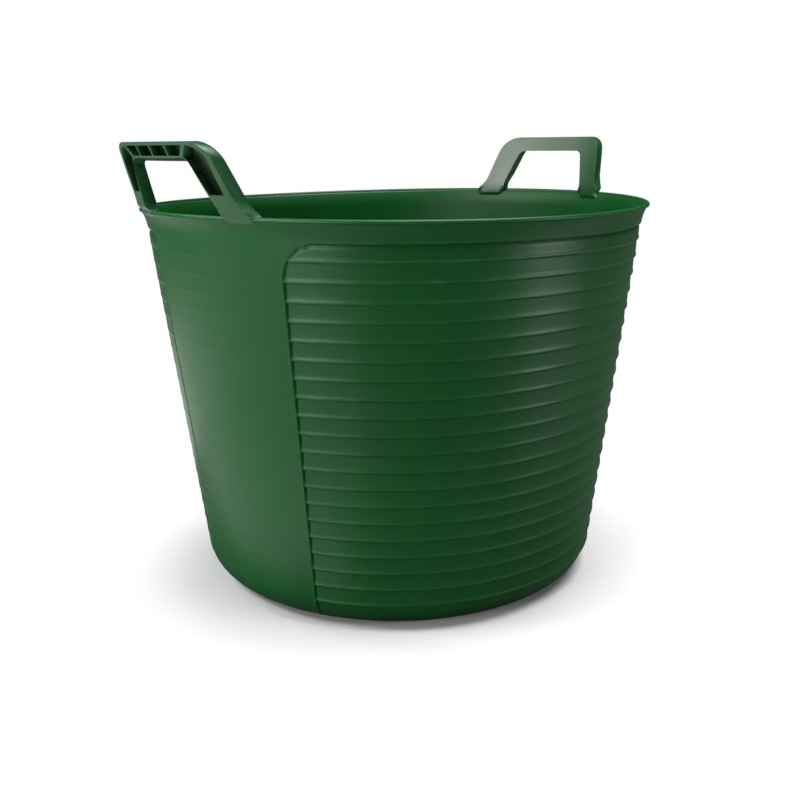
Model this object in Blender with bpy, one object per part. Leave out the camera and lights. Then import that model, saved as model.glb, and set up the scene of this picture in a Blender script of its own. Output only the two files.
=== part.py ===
"""Flexible mortar mixing tub, 40 litre class, moulded in low-density polyethylene.

The tub stands on z = 0 with its axis on Z. Its two handles lie on the X axis. The moulding is
split where it works as separate regions: the floor pan, the ribbed front and back walls, the
smooth side straps under the handles, the lip, and the handles with their flexing roots.
Everything is in metres.
"""
import math

import bmesh
import bpy
from mathutils import Matrix, Vector
from mathutils.geometry import delaunay_2d_cdt

# Tub body
RIM_RADIUS = 0.225            # outer edge of the lip
RIM_HEIGHT = 0.335            # top of the lip above the ground
BASE_RADIUS = 0.180           # wall line carried down to the ground
LIP_OVERHANG = 0.0042         # how far the lip stands out from the wall line
WALL = 0.0032                 # thickness of wall and floor
CORNER_RADIUS = 0.034         # outside radius between wall and floor

# Foot ring under the floor
FOOT_MARGIN = 0.0055          # flat floor left between the ring and the corner
FOOT_WIDTH = 0.014
FOOT_HEIGHT = 0.0025

# Ribbed wall panels
RIB_PITCH = 0.0148
RIB_DEPTH = 0.0013            # how far the wall steps in under each rib
RIB_LEDGE = 0.0012            # height of the step itself
SMOOTH_BAND = 0.0300          # smooth wall between the top rib and the lip's top

# Lip
FLARE_HEIGHT = 0.0160         # height over which the wall flares out to the lip
BEAD_RADIUS = 0.0020          # rounded edge of the lip

# Side straps
STRAP_HALF_ANGLE = math.radians(23.2)

# Handles
HANDLE_FOOT_HALF = 0.0785     # half width of the loop's outline at the lip
HANDLE_TOP_HALF = 0.0450      # half width at the top, corners unrounded
HANDLE_HEIGHT = 0.0560        # above the lip
HANDLE_DEPTH = 0.0100         # from the web's inner face to the flanges' edge
HANDLE_WEB = 0.0032
HANDLE_FLANGE = 0.0036
HANDLE_CORNER = 0.0200        # outline's top corners
CORNER_RIB_TOP = 0.0380       # where the slanting corner rib meets the top flange
HANDLE_LEAN = 0.47            # outward travel per unit of height
HANDLE_INSET = 0.0075         # web's inner face, inside the lip's outer edge
GRIP_HEIGHT = 0.0142          # grip bar, top to bottom
LEG_WIDTH_FOOT = 0.0250
LEG_WIDTH_TOP = 0.0170
HOLE_CORNER = 0.0070
GUSSET_HEIGHT = 0.0160        # solid foot of each leg, above the lip
RIB_THICKNESS = 0.0016
GRIP_RIB_PITCH = 0.0195
ROOT_HEIGHT = 0.0120          # flexing root of each leg

# Joints between regions
GAP = 0.0003
SIDE_GAP = 0.0006

# Faceting
RING_STEPS = 72
CORNER_STEPS = 6
BEND_STEP = 0.0120

SLOPE = (RIM_RADIUS - LIP_OVERHANG - BASE_RADIUS) / RIM_HEIGHT
TOP_RIB_Z = RIM_HEIGHT - SMOOTH_BAND
RIB_SPACES = int((TOP_RIB_Z - CORNER_RADIUS) / RIB_PITCH)
PAN_TOP = TOP_RIB_Z - RIB_SPACES * RIB_PITCH
WALL_TOP = RIM_HEIGHT - FLARE_HEIGHT
WEB_RADIUS = RIM_RADIUS - HANDLE_INSET
HOLE_FOOT_HALF = HANDLE_FOOT_HALF - LEG_WIDTH_FOOT
HOLE_TOP_HALF = HANDLE_TOP_HALF - LEG_WIDTH_TOP
HOLE_TOP = HANDLE_HEIGHT - GRIP_HEIGHT

GREEN = (0.020, 0.115, 0.040, 1.0)
TINTS = {"pan": 0.85, "wall": 1.0, "strap": 1.12, "lip": 1.3, "handle": 0.95, "root": 1.2}


def clear_scene():
    for obj in list(bpy.data.objects):
        bpy.data.objects.remove(obj, do_unlink=True)


def plastic(name, tint):
    material = bpy.data.materials.new(name)
    material.use_nodes = True
    shader = material.node_tree.nodes["Principled BSDF"]
    shader.inputs["Base Color"].default_value = tuple(c * tint for c in GREEN[:3]) + (1.0,)
    shader.inputs["Roughness"].default_value = 0.42
    shader.inputs["Metallic"].default_value = 0.0
    return material


def add_object(name, mesh_data, tint, parent=None):
    obj = bpy.data.objects.new(name, mesh_data)
    obj.data.materials.append(plastic(name + "_green", TINTS[tint]))
    bpy.context.scene.collection.objects.link(obj)
    if parent is not None:
        obj.parent = parent
        obj.matrix_parent_inverse = parent.matrix_world.inverted()
    return obj


def add_pivot(name, location, parent=None):
    pivot = bpy.data.objects.new(name, None)
    bpy.context.scene.collection.objects.link(pivot)
    pivot.matrix_world = Matrix.Translation(location)
    if parent is not None:
        pivot.parent = parent
        pivot.matrix_parent_inverse = Matrix.Translation(parent.location).inverted()
    return pivot


def finish_mesh(name, bm):
    bmesh.ops.recalc_face_normals(bm, faces=bm.faces)
    mesh = bpy.data.meshes.new(name)
    bm.to_mesh(mesh)
    bm.free()
    mesh.shade_smooth()
    mesh.set_sharp_from_angle(angle=math.radians(30))
    return mesh


# Wall line, and the plane that cuts the side straps from the ribbed walls

def line_radius(z):
    return BASE_RADIUS + SLOPE * z


def cut_y(z):
    return line_radius(z) * math.sin(STRAP_HALF_ANGLE)


def flare(z):
    """Extra radius of the wall's outer face where it flares out to the lip."""
    t = max(0.0, (z - WALL_TOP) / FLARE_HEIGHT)
    return LIP_OVERHANG * t * t


# Closed profiles, as (radius, height) points

def pan_profile():
    """Floor, corner and foot ring, out from the axis and back along the inside."""
    tilt = math.atan(SLOPE)
    centre_r = line_radius(CORNER_RADIUS) - CORNER_RADIUS / math.cos(tilt)
    centre_z = CORNER_RADIUS
    underside = FOOT_HEIGHT
    outer = [(0.0, underside)]
    foot_out = centre_r - FOOT_MARGIN - FOOT_HEIGHT
    foot_in = foot_out - FOOT_WIDTH
    outer += [(foot_in - FOOT_HEIGHT, underside), (foot_in, 0.0)]
    outer += [(foot_out, 0.0), (foot_out + FOOT_HEIGHT, underside)]
    start = math.acos((centre_z - underside) / CORNER_RADIUS)
    inner = []
    for i in range(CORNER_STEPS + 1):
        angle = start + (math.pi / 2 - tilt - start) * i / CORNER_STEPS
        outer.append((centre_r + CORNER_RADIUS * math.sin(angle), centre_z - CORNER_RADIUS * math.cos(angle)))
    inside = CORNER_RADIUS - WALL
    start = math.acos((centre_z - underside - WALL) / inside)
    for i in range(CORNER_STEPS + 1):
        angle = start + (math.pi / 2 - tilt - start) * i / CORNER_STEPS
        inner.append((centre_r + inside * math.sin(angle), centre_z - inside * math.cos(angle)))
    outer.append((line_radius(PAN_TOP), PAN_TOP))
    inner.append((line_radius(PAN_TOP) - WALL, PAN_TOP))
    return outer + inner[::-1] + [(0.0, underside + WALL)]


def ribbed_profile():
    """Clapboard wall: each rib stands out at its foot and the wall steps in below it."""
    bottom = PAN_TOP + GAP
    top = WALL_TOP - GAP
    points = [(line_radius(bottom), bottom)]
    for i in range(RIB_SPACES - 1, -1, -1):
        foot = TOP_RIB_Z - i * RIB_PITCH
        points.append((line_radius(foot) - RIB_DEPTH, foot - RIB_LEDGE))
        points.append((line_radius(foot), foot))
    points.append((line_radius(top), top))
    points.append((line_radius(top) - WALL, top))
    points.append((line_radius(bottom) - WALL, bottom))
    return points


def smooth_profile():
    bottom = PAN_TOP + GAP
    top = WALL_TOP - GAP
    return [(line_radius(bottom), bottom), (line_radius(top), top),
            (line_radius(top) - WALL, top), (line_radius(bottom) - WALL, bottom)]


def lip_profile():
    """Flared band with a rounded bead along its top edge."""
    steps = 4
    bead_z = RIM_HEIGHT - BEAD_RADIUS
    bead_r = RIM_RADIUS - BEAD_RADIUS
    heights = [WALL_TOP + (bead_z - WALL_TOP) * i / steps for i in range(steps)]
    outer = [(line_radius(z) + flare(z), z) for z in heights]
    bead = []
    for i in range(5):
        angle = math.pi * i / 4
        bead.append((bead_r + BEAD_RADIUS * math.cos(angle), bead_z + BEAD_RADIUS * math.sin(angle)))
    inner = [(r - WALL, z) for r, z in reversed(outer)]
    return outer + bead + inner


# Solids

def revolve(name, profile, steps):
    """Full turn of a closed profile whose first and last points lie on the axis."""
    bm = bmesh.new()
    poles = [bm.verts.new((0.0, 0.0, z)) for r, z in (profile[0], profile[-1])]
    rings = []
    for r, z in profile[1:-1]:
        ring = []
        for k in range(steps):
            a = 2 * math.pi * k / steps
            ring.append(bm.verts.new((r * math.cos(a), r * math.sin(a), z)))
        rings.append(ring)
    for k in range(steps):
        n = (k + 1) % steps
        bm.faces.new((poles[0], rings[0][n], rings[0][k]))
        bm.faces.new((poles[1], rings[-1][k], rings[-1][n]))
        for low, high in zip(rings, rings[1:]):
            bm.faces.new((low[k], low[n], high[n], high[k]))
    return finish_mesh(name, bm)


def sector(name, profile, ends, steps):
    """Part turn of a closed profile; ends(r, z) gives its first and last angles there."""
    bm = bmesh.new()
    stations = []
    for k in range(steps + 1):
        t = k / steps
        loop = []
        for r, z in profile:
            first, last = ends(r, z)
            a = first + (last - first) * t
            loop.append(bm.verts.new((r * math.cos(a), r * math.sin(a), z)))
        stations.append(loop)
    count = len(profile)
    for here, there in zip(stations, stations[1:]):
        for i in range(count):
            j = (i + 1) % count
            bm.faces.new((here[i], here[j], there[j], there[i]))
    bm.faces.new(stations[0][::-1])
    bm.faces.new(stations[-1])
    bmesh.ops.triangulate(bm, faces=[f for f in bm.faces if len(f.verts) > 4])
    return finish_mesh(name, bm)


def wall_ends(middle):
    """Angles of a ribbed wall's ends, cut along planes that face the straps."""
    def ends(r, z):
        angle = math.asin((cut_y(z) + SIDE_GAP / 2) / r)
        return middle - (math.pi / 2 - angle), middle + (math.pi / 2 - angle)
    return ends


def strap_ends(middle):
    def ends(r, z):
        angle = math.asin((cut_y(z) - SIDE_GAP / 2) / r)
        return middle - angle, middle + angle
    return ends


# Handles, drawn flat as (along, up) points and then set on the lip's curve

def arc(cx, cy, radius, first, last, steps):
    return [(cx + radius * math.cos(first + (last - first) * i / steps),
             cy + radius * math.sin(first + (last - first) * i / steps)) for i in range(steps + 1)]


def rounded_top(half_foot, half_top, foot, top, corner):
    """Points of a trapezoid with round top corners, from its right foot to its left foot."""
    lean = math.atan2(half_foot - half_top, top - foot)
    reach = corner * math.tan((math.pi / 2 - lean) / 2)
    centre_x = half_top - reach
    centre_y = top - corner
    right = arc(centre_x, centre_y, corner, lean, math.pi / 2, CORNER_STEPS)
    left = [(-x, y) for x, y in reversed(right)]
    return [(half_foot, foot)] + right + left + [(-half_foot, foot)]


def side_half(at_foot, at_top, h):
    """Half width at height h of a leg's edge that runs straight from foot to top."""
    return at_foot + (at_top - at_foot) * h / HANDLE_HEIGHT


def loop_outline(foot):
    """Inverted U from its right outer foot round to its right inner foot."""
    outer = rounded_top(side_half(HANDLE_FOOT_HALF, HANDLE_TOP_HALF, foot), HANDLE_TOP_HALF,
                        foot, HANDLE_HEIGHT, HANDLE_CORNER)
    inner = rounded_top(side_half(HOLE_FOOT_HALF, HOLE_TOP_HALF, foot),
                        side_half(HOLE_FOOT_HALF, HOLE_TOP_HALF, HOLE_TOP),
                        foot, HOLE_TOP, HOLE_CORNER)
    return outer + inner[::-1]


def channel_edges(h):
    """Inner and outer half widths of the open channel in a leg at height h."""
    inner = side_half(HOLE_FOOT_HALF, HOLE_TOP_HALF, h) + HANDLE_FLANGE
    outer = side_half(HANDLE_FOOT_HALF, HANDLE_TOP_HALF, h) - HANDLE_FLANGE
    return inner, outer


def channel_pockets():
    """Pockets between the cross ribs: four in the grip bar and one in each leg."""
    low = HOLE_TOP + HANDLE_FLANGE
    high = HANDLE_HEIGHT - HANDLE_FLANGE
    half = RIB_THICKNESS / 2
    corner_low = side_half(HOLE_FOOT_HALF, HOLE_TOP_HALF, low) + HANDLE_FLANGE / 2
    pockets = []
    for sign in (1, -1):
        near = [(half, low), (GRIP_RIB_PITCH - half, low), (GRIP_RIB_PITCH - half, high), (half, high)]
        far = [(GRIP_RIB_PITCH + half, low), (corner_low - half, low),
               (CORNER_RIB_TOP - 4 * half, high), (GRIP_RIB_PITCH + half, high)]
        foot_in, foot_out = channel_edges(GUSSET_HEIGHT)
        top_in = side_half(HOLE_FOOT_HALF, HOLE_TOP_HALF, HOLE_TOP) + HANDLE_FLANGE
        ring = rounded_top(foot_out, HANDLE_TOP_HALF - HANDLE_FLANGE, GUSSET_HEIGHT, high,
                           HANDLE_CORNER - HANDLE_FLANGE)
        bend = [p for p in ring[1:CORNER_STEPS] if p[0] > CORNER_RIB_TOP + half]
        leg = [(foot_in, GUSSET_HEIGHT), (foot_out, GUSSET_HEIGHT)] + bend
        leg += [(CORNER_RIB_TOP + half, bend[-1][1] + half), (corner_low + 2 * half, low), (top_in, HOLE_TOP)]
        for pocket in (near, far, leg):
            pockets.append([(sign * x, y) for x, y in pocket])
    return pockets


def handle_point(side, along, up, depth):
    """Place a flat handle point: along the lip, up from it, and out through its thickness."""
    angle = along / WEB_RADIUS
    r = WEB_RADIUS + HANDLE_LEAN * up + depth
    return Vector((side * r * math.cos(angle), side * r * math.sin(angle), RIM_HEIGHT + up))


def holds(loop, x, y):
    """Whether a closed loop of (x, y) points holds a point."""
    inside = False
    for (ax, ay), (bx, by) in zip(loop, loop[1:] + loop[:1]):
        if (ay > y) != (by > y) and x < ax + (bx - ax) * (y - ay) / (by - ay):
            inside = not inside
    return inside


def flat_layer(bm, outline, holes, depth):
    """Fill an outline around its holes with triangles; return the loops' own vertices."""
    points = []
    ties = []
    for loop in [outline] + holes:
        first = len(points)
        points += [Vector(p) for p in loop]
        ties += [(first + i, first + (i + 1) % len(loop)) for i in range(len(loop))]
    coords, _, faces, _, _, _ = delaunay_2d_cdt(points, ties, [], 1, 1e-7)
    verts = [bm.verts.new((p.x, p.y, depth)) for p in coords]
    for face in faces:
        x = sum(coords[i].x for i in face) / 3
        y = sum(coords[i].y for i in face) / 3
        if not any(holds(hole, x, y) for hole in holes):
            bm.faces.new([verts[i] for i in face])
    return verts


def join_loops(bm, low, high):
    """Side faces between two loops of vertices with the same count."""
    for i in range(len(low)):
        j = (i + 1) % len(low)
        bm.faces.new((low[i], low[j], high[j], high[i]))


def flat_solid(outline, pockets, thickness, floor):
    """Prism of an outline with blind pockets, as bmesh in (along, up, depth)."""
    bm = bmesh.new()
    back = flat_layer(bm, outline, [], 0.0)
    front = flat_layer(bm, outline, pockets, thickness)
    join_loops(bm, back, front[:len(outline)])
    first = len(outline)
    for pocket in pockets:
        bottom = flat_layer(bm, pocket, [], floor)
        join_loops(bm, bottom, front[first:first + len(pocket)])
        first += len(pocket)
    return bm


def bend_onto_lip(bm, side, half_length):
    """Slice a flat solid so that it can follow the lip's curve, then place it."""
    count = math.ceil(half_length / BEND_STEP)
    for k in range(-count, count + 1):
        geometry = bm.verts[:] + bm.edges[:] + bm.faces[:]
        bmesh.ops.bisect_plane(bm, geom=geometry, dist=1e-7, plane_co=(k * BEND_STEP, 0, 0), plane_no=(1, 0, 0))
    bmesh.ops.triangulate(bm, faces=bm.faces[:])
    for vert in bm.verts:
        vert.co = handle_point(side, *vert.co)
    return bm


def handle_mesh(name, side):
    foot = ROOT_HEIGHT + GAP
    bm = flat_solid(loop_outline(foot), channel_pockets(), HANDLE_DEPTH, HANDLE_WEB)
    return finish_mesh(name, bend_onto_lip(bm, side, HANDLE_FOOT_HALF))


def root_mesh(name, side, sign):
    """Flexing root that joins one leg to the lip."""
    top = ROOT_HEIGHT
    outline = [(side_half(HOLE_FOOT_HALF, HOLE_TOP_HALF, GAP), GAP),
               (side_half(HANDLE_FOOT_HALF, HANDLE_TOP_HALF, GAP), GAP),
               (side_half(HANDLE_FOOT_HALF, HANDLE_TOP_HALF, top), top),
               (side_half(HOLE_FOOT_HALF, HOLE_TOP_HALF, top), top)]
    outline = [(sign * x, y) for x, y in outline]
    bm = flat_solid(outline, [], HANDLE_DEPTH, HANDLE_WEB)
    return finish_mesh(name, bend_onto_lip(bm, side, HANDLE_FOOT_HALF))


def build_tub():
    add_object("floor_pan", revolve("floor_pan", pan_profile(), RING_STEPS), "pan")
    wall_steps = round(RING_STEPS * (math.pi - 2 * STRAP_HALF_ANGLE) / (2 * math.pi))
    for name, middle in (("front", -math.pi / 2), ("back", math.pi / 2)):
        ends = wall_ends(middle)
        add_object(name + "_wall", sector(name + "_wall", ribbed_profile(), ends, wall_steps), "wall")
        add_object(name + "_rim", sector(name + "_rim", lip_profile(), ends, wall_steps), "lip")


def build_side(name, side):
    """One strap with its stretch of lip, hinged at its foot, and the handle above it."""
    middle = 0.0 if side > 0 else math.pi
    foot_x = (line_radius(PAN_TOP) - WALL) * math.cos(STRAP_HALF_ANGLE)
    foot_pivot = add_pivot(name + "_side_pivot", (side * foot_x, 0.0, PAN_TOP))
    strap_steps = round(RING_STEPS * STRAP_HALF_ANGLE / math.pi)
    ends = strap_ends(middle)
    strap = sector(name + "_strap", smooth_profile(), ends, strap_steps)
    add_object(name + "_strap", strap, "strap", foot_pivot)
    add_object(name + "_rim", sector(name + "_rim", lip_profile(), ends, strap_steps), "lip", foot_pivot)
    for leg, sign in (("front", -side), ("back", side)):
        root_name = f"{name}_handle_root_{leg}"
        add_object(root_name, root_mesh(root_name, side, sign), "root", foot_pivot)
    leg_angle = (HANDLE_FOOT_HALF + HOLE_FOOT_HALF) / 2 / WEB_RADIUS
    root_x = (WEB_RADIUS + HANDLE_DEPTH / 2) * math.cos(leg_angle)
    root_middle = (side * root_x, 0.0, RIM_HEIGHT + ROOT_HEIGHT / 2)
    handle_pivot = add_pivot(name + "_handle_pivot", root_middle, foot_pivot)
    add_object(name + "_handle", handle_mesh(name + "_handle", side), "handle", handle_pivot)


def main():
    clear_scene()
    build_tub()
    build_side("left", -1)
    build_side("right", 1)


main()
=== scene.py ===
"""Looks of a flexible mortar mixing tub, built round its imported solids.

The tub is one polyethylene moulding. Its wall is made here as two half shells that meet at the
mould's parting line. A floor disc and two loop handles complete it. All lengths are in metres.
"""

import logging
import math
from dataclasses import dataclass, field
from enum import Enum
from functools import cache
from typing import Any, Callable, Sequence

import bmesh
import bpy
import numpy as np
from mathutils import Matrix, Vector
from mathutils.geometry import delaunay_2d_cdt


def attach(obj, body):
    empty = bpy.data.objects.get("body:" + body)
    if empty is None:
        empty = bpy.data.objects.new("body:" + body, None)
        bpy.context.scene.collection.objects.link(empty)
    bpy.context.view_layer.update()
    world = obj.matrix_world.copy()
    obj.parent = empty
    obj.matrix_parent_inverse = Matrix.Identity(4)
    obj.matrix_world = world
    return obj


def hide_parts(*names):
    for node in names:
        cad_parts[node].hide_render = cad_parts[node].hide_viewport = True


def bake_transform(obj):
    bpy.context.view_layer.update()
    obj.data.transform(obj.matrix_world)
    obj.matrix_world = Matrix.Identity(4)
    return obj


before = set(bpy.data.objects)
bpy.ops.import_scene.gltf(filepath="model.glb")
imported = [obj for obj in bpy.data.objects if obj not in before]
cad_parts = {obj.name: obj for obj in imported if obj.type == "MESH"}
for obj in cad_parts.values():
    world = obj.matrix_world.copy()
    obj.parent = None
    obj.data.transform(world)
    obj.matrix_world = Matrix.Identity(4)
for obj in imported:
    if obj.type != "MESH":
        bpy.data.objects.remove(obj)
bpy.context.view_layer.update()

log = logging.getLogger("mixing_tub")
Point = tuple[float, float]
Triple = tuple[float, float, float]
Colour = tuple[float, float, float, float]
Verts = list[bmesh.types.BMVert]
WHITE = (1.0, 1.0, 1.0, 1.0)


class Side(Enum):
    """The tub's two sides, by the sign of X."""

    LEFT = -1
    RIGHT = 1

    @property
    def word(self) -> str:
        """Return the side's name as the bodies and nodes spell it."""
        return self.name.lower()


def smooth(t: np.ndarray) -> np.ndarray:
    """Ease t from 0 to 1, flat at both ends."""
    t = np.clip(t, 0.0, 1.0)
    return t * t * (3 - 2 * t)


def hump(x: np.ndarray, width: float) -> np.ndarray:
    """Return a soft hump of height 1 at x = 0."""
    return np.exp(-((x / width) ** 2))


def unit(t: float) -> float:
    """Keep t between 0 and 1."""
    return min(1.0, max(0.0, t))


# --------------------------------------------------------------------------------------------
# Shader building
# --------------------------------------------------------------------------------------------


class Wire:
    """One shader socket, on which Python's operators add Math nodes."""

    def __init__(self, graph: "Graph", socket: bpy.types.NodeSocket) -> None:
        """Keep the socket and the graph it belongs to."""
        self.graph = graph
        self.socket = socket

    def _math(self, operation: str, first: Any, second: Any) -> "Wire":
        """Add one Math node.

        Args:
            operation: The Math node's operation.
            first: A number or a wire.
            second: A number or a wire.

        Returns:
            The node's value.
        """
        return self.graph.node("ShaderNodeMath", {"operation": operation}, {0: first, 1: second})

    def __add__(self, other: Any) -> "Wire":
        """Return self + other."""
        return self._math("ADD", self, other)

    def __radd__(self, other: Any) -> "Wire":
        """Return other + self."""
        return self._math("ADD", other, self)

    def __sub__(self, other: Any) -> "Wire":
        """Return self - other."""
        return self._math("SUBTRACT", self, other)

    def __rsub__(self, other: Any) -> "Wire":
        """Return other - self."""
        return self._math("SUBTRACT", other, self)

    def __mul__(self, other: Any) -> "Wire":
        """Return self * other."""
        return self._math("MULTIPLY", self, other)

    def __rmul__(self, other: Any) -> "Wire":
        """Return other * self."""
        return self._math("MULTIPLY", other, self)


class Graph:
    """The node tree of a material or of the world, with one way to add any node."""

    def __init__(self, owner: Any, output: str = "ShaderNodeOutputMaterial") -> None:
        """Start an empty tree.

        Args:
            owner: The new material or world.
            output: The type of its output node.
        """
        owner.use_nodes = True
        self.owner = owner
        self.output = output
        self.tree = owner.node_tree
        self.tree.nodes.clear()

    def add(self, kind: str, settings: dict[str, Any], sockets: dict[Any, Any]) -> bpy.types.Node:
        """Add a node.

        Args:
            kind: The node's type.
            settings: Properties set first; "stops" fills a colour ramp.
            sockets: Input name or index to a value or a wire.

        Returns:
            The node.
        """
        made = self.tree.nodes.new(kind)
        for key, value in settings.items():
            if key == "stops":
                self._fill_ramp(made.color_ramp, value)
            else:
                setattr(made, key, value)
        for key, value in sockets.items():
            if isinstance(value, Wire):
                self.tree.links.new(value.socket, made.inputs[key])
            else:
                made.inputs[key].default_value = value
        return made

    def node(self, kind: str, settings: dict[str, Any], sockets: dict[Any, Any], out: Any = 0) -> Wire:
        """Add a node and return one of its outputs, by name or index."""
        return Wire(self, self.add(kind, settings, sockets).outputs[out])

    @staticmethod
    def _fill_ramp(ramp: bpy.types.ColorRamp, stops: Sequence[Point]) -> None:
        """Set a ramp's stops.

        Args:
            ramp: The node's ramp.
            stops: A place and a grey value for each.
        """
        while len(ramp.elements) > len(stops):
            ramp.elements.remove(ramp.elements[-1])
        while len(ramp.elements) < len(stops):
            ramp.elements.new(1.0)
        for element, (place, grey) in zip(ramp.elements, stops):
            element.position = place
            element.color = (grey, grey, grey, 1.0)

    def blend_colours(self, factor: Any, first: Any, second: Any) -> Wire:
        """Mix two colours.

        Args:
            factor: 0 gives the first, 1 the second.
            first: A colour or a wire.
            second: A colour or a wire.

        Returns:
            The mixed colour.
        """
        settings = {"data_type": "RGBA"}
        return self.node("ShaderNodeMix", settings, {0: factor, 6: first, 7: second}, 2)

    def noise(self, place: Wire, scale: float, detail: float, roughness: float = 0.5) -> Wire:
        """Return a noise value of the given scale at a place."""
        sockets = {"Vector": place, "Scale": scale, "Detail": detail, "Roughness": roughness}
        return self.node("ShaderNodeTexNoise", {}, sockets, "Fac")

    def ramp(self, value: Wire, stops: Sequence[Point]) -> Wire:
        """Pass a value through a grey ramp."""
        return self.node("ShaderNodeValToRGB", {"stops": stops}, {"Fac": value}, "Color")

    def mark(self, name: str) -> Wire:
        """Read a value that the mesh holds on its points."""
        return self.node("ShaderNodeAttribute", {"attribute_name": name}, {}, "Fac")

    def stretch(self, place: Wire, scale: Triple) -> Wire:
        """Scale a place along each axis."""
        return self.node("ShaderNodeMapping", {}, {"Vector": place, "Scale": scale})

    def bump(self, height: Wire) -> Wire:
        """Turn a height in metres into a normal."""
        sockets = {"Height": height, "Distance": 1.0, "Strength": 1.0}
        return self.node("ShaderNodeBump", {}, sockets, "Normal")

    def finish(self, shader: Wire) -> Any:
        """Wire a shader to the output and return the material or world."""
        self.add(self.output, {}, {"Surface": shader})
        return self.owner


# --------------------------------------------------------------------------------------------
# Finishes
# --------------------------------------------------------------------------------------------


@dataclass(frozen=True)
class TubPlastic:
    """Satin green polyethylene, with flow marks, a fine grain and scuffed edges; the marked edges also take
    a painted highlight, and deep channels painted shade.
    """

    name: str
    deep: Colour = (0.0015, 0.0780, 0.0118, 1.0)
    fresh: Colour = (0.0020, 0.1010, 0.0158, 1.0)
    # Lighter green of scratches, scuffs and painted highlights.
    wear_and_sheen_colour: Colour = (0.0300, 0.1800, 0.0640, 1.0)
    # Near-black green painted into deep channels as shade; the next value is how much of it.
    painted_shade_colour: Colour = (0.0010, 0.0100, 0.0028, 1.0)
    painted_shade_strength: float = 0.94
    roughness: float = 0.36
    roughness_spread: float = 0.10
    grain_roughness: float = 0.04
    worn_roughness: float = 0.06
    shine: float = 0.40
    cloud_scale: float = 7.0
    cloud_share: float = 0.6
    tone_stops: tuple[Point, Point] = ((0.34, 0.0), (0.66, 1.0))
    flow_stretch: Triple = (26.0, 26.0, 2.2)
    ripple_stretch: Triple = (9.0, 9.0, 5.0)
    ripple_height: float = 0.0004
    grain_scale: float = 900.0
    grain_height: float = 0.00006
    scratch_stretch: Triple = (160.0, 160.0, 34.0)
    scratch_stops: tuple[Point, Point] = ((0.60, 0.0), (0.74, 1.0))
    scratch_depth: float = 0.00005
    scratch_tone: float = 0.35
    scratch_roughness: float = 0.25
    scuff: float = 0.25
    wear_and_painted_sheen: float = 0.55
    patch_scale: float = 60.0
    patch_stops: tuple[Point, Point] = ((0.35, 0.35), (0.65, 1.0))

    @cache
    def material(self) -> bpy.types.Material:
        """Build the material once.

        Returns:
            The finished material, the same one at each call.
        """
        g = Graph(bpy.data.materials.new(self.name))
        place = g.node("ShaderNodeTexCoord", {}, {}, "Object")
        cloud = g.noise(place, self.cloud_scale, 4.0)
        streak = g.noise(g.stretch(place, self.flow_stretch), 1.0, 5.0, 0.6)
        grain = g.noise(place, self.grain_scale, 2.0)
        ripple = g.noise(g.stretch(place, self.ripple_stretch), 1.0, 2.0)
        scratches = g.noise(g.stretch(place, self.scratch_stretch), 1.0, 8.0, 0.7)
        scratches = g.ramp(scratches, self.scratch_stops)
        patchy = g.ramp(g.noise(place, self.patch_scale, 4.0), self.patch_stops)
        # Marked points turn lighter: scuffs on the handle and floor, a painted highlight on the wall's rib
        # crests and lip.
        wear_and_sheen_mask = g.mark("wear_and_painted_sheen") * patchy * self.wear_and_painted_sheen

        tone = g.ramp(cloud * self.cloud_share + streak * (1 - self.cloud_share), self.tone_stops)
        colour = g.blend_colours(tone, self.deep, self.fresh)
        colour = g.blend_colours(scratches * (self.scuff * self.scratch_tone), colour, self.wear_and_sheen_colour)
        colour = g.blend_colours(wear_and_sheen_mask, colour, self.wear_and_sheen_colour)
        # Deep in the handle's channels the green goes near black: painted shade.
        colour = g.blend_colours(g.mark("painted_recess_shade") * self.painted_shade_strength, colour, self.painted_shade_colour)

        spread = self.roughness_spread
        rough = streak * spread + cloud * spread + (self.roughness - spread)
        rough = rough + scratches * (self.scuff * self.scratch_roughness)
        rough = rough + grain * self.grain_roughness + wear_and_sheen_mask * self.worn_roughness

        height = ripple * self.ripple_height + grain * self.grain_height
        height = height - scratches * (self.scuff * self.scratch_depth)
        sockets = {
            "Base Color": colour,
            "Roughness": rough,
            "Metallic": 0.0,
            "Normal": g.bump(height),
            "IOR": 1.50,
            "Specular IOR Level": self.shine,
        }
        return g.finish(g.node("ShaderNodeBsdfPrincipled", {}, sockets))


@dataclass(frozen=True)
class StudioFloor:
    """Plain pale floor with a barely uneven tone, fading into the white backdrop."""

    name: str = "studio_floor"
    light: Colour = (0.93, 0.93, 0.93, 1.0)
    shade: Colour = (0.91, 0.91, 0.91, 1.0)
    dull: Colour = (0.15, 0.15, 0.15, 1.0)
    cloud_scale: float = 1.5
    fade_centre: Triple = (0.025, -0.035, 0.0)
    fade_start: float = 0.235
    fade_end: float = 0.325

    def material(self) -> bpy.types.Material:
        """Build the material.

        Returns:
            A floor that is white far out, and dull where it would light the tub.
        """
        g = Graph(bpy.data.materials.new(self.name))
        place = g.node("ShaderNodeTexCoord", {}, {}, "Object")
        colour = g.blend_colours(g.noise(place, self.cloud_scale, 2.0), self.light, self.shade)
        sockets = {"Base Color": colour, "Roughness": 0.9, "Specular IOR Level": 0.1}
        floor = g.node("ShaderNodeBsdfPrincipled", {}, sockets)
        glow = g.node("ShaderNodeEmission", {}, {"Color": WHITE, "Strength": 1.0})
        ends = {0: place, 1: self.fade_centre}
        reach = g.node("ShaderNodeVectorMath", {"operation": "DISTANCE"}, ends, "Value")
        limits = {"Value": reach, "From Min": self.fade_start, "From Max": self.fade_end}
        fade = g.node("ShaderNodeMapRange", {"interpolation_type": "SMOOTHSTEP"}, limits)
        shown = g.node("ShaderNodeMixShader", {}, {0: fade, 1: floor, 2: glow})
        dull = g.node("ShaderNodeBsdfDiffuse", {}, {"Color": self.dull})
        seen = g.node("ShaderNodeLightPath", {}, {}, "Is Camera Ray")
        return g.finish(g.node("ShaderNodeMixShader", {}, {0: seen, 1: dull, 2: shown}))


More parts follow.
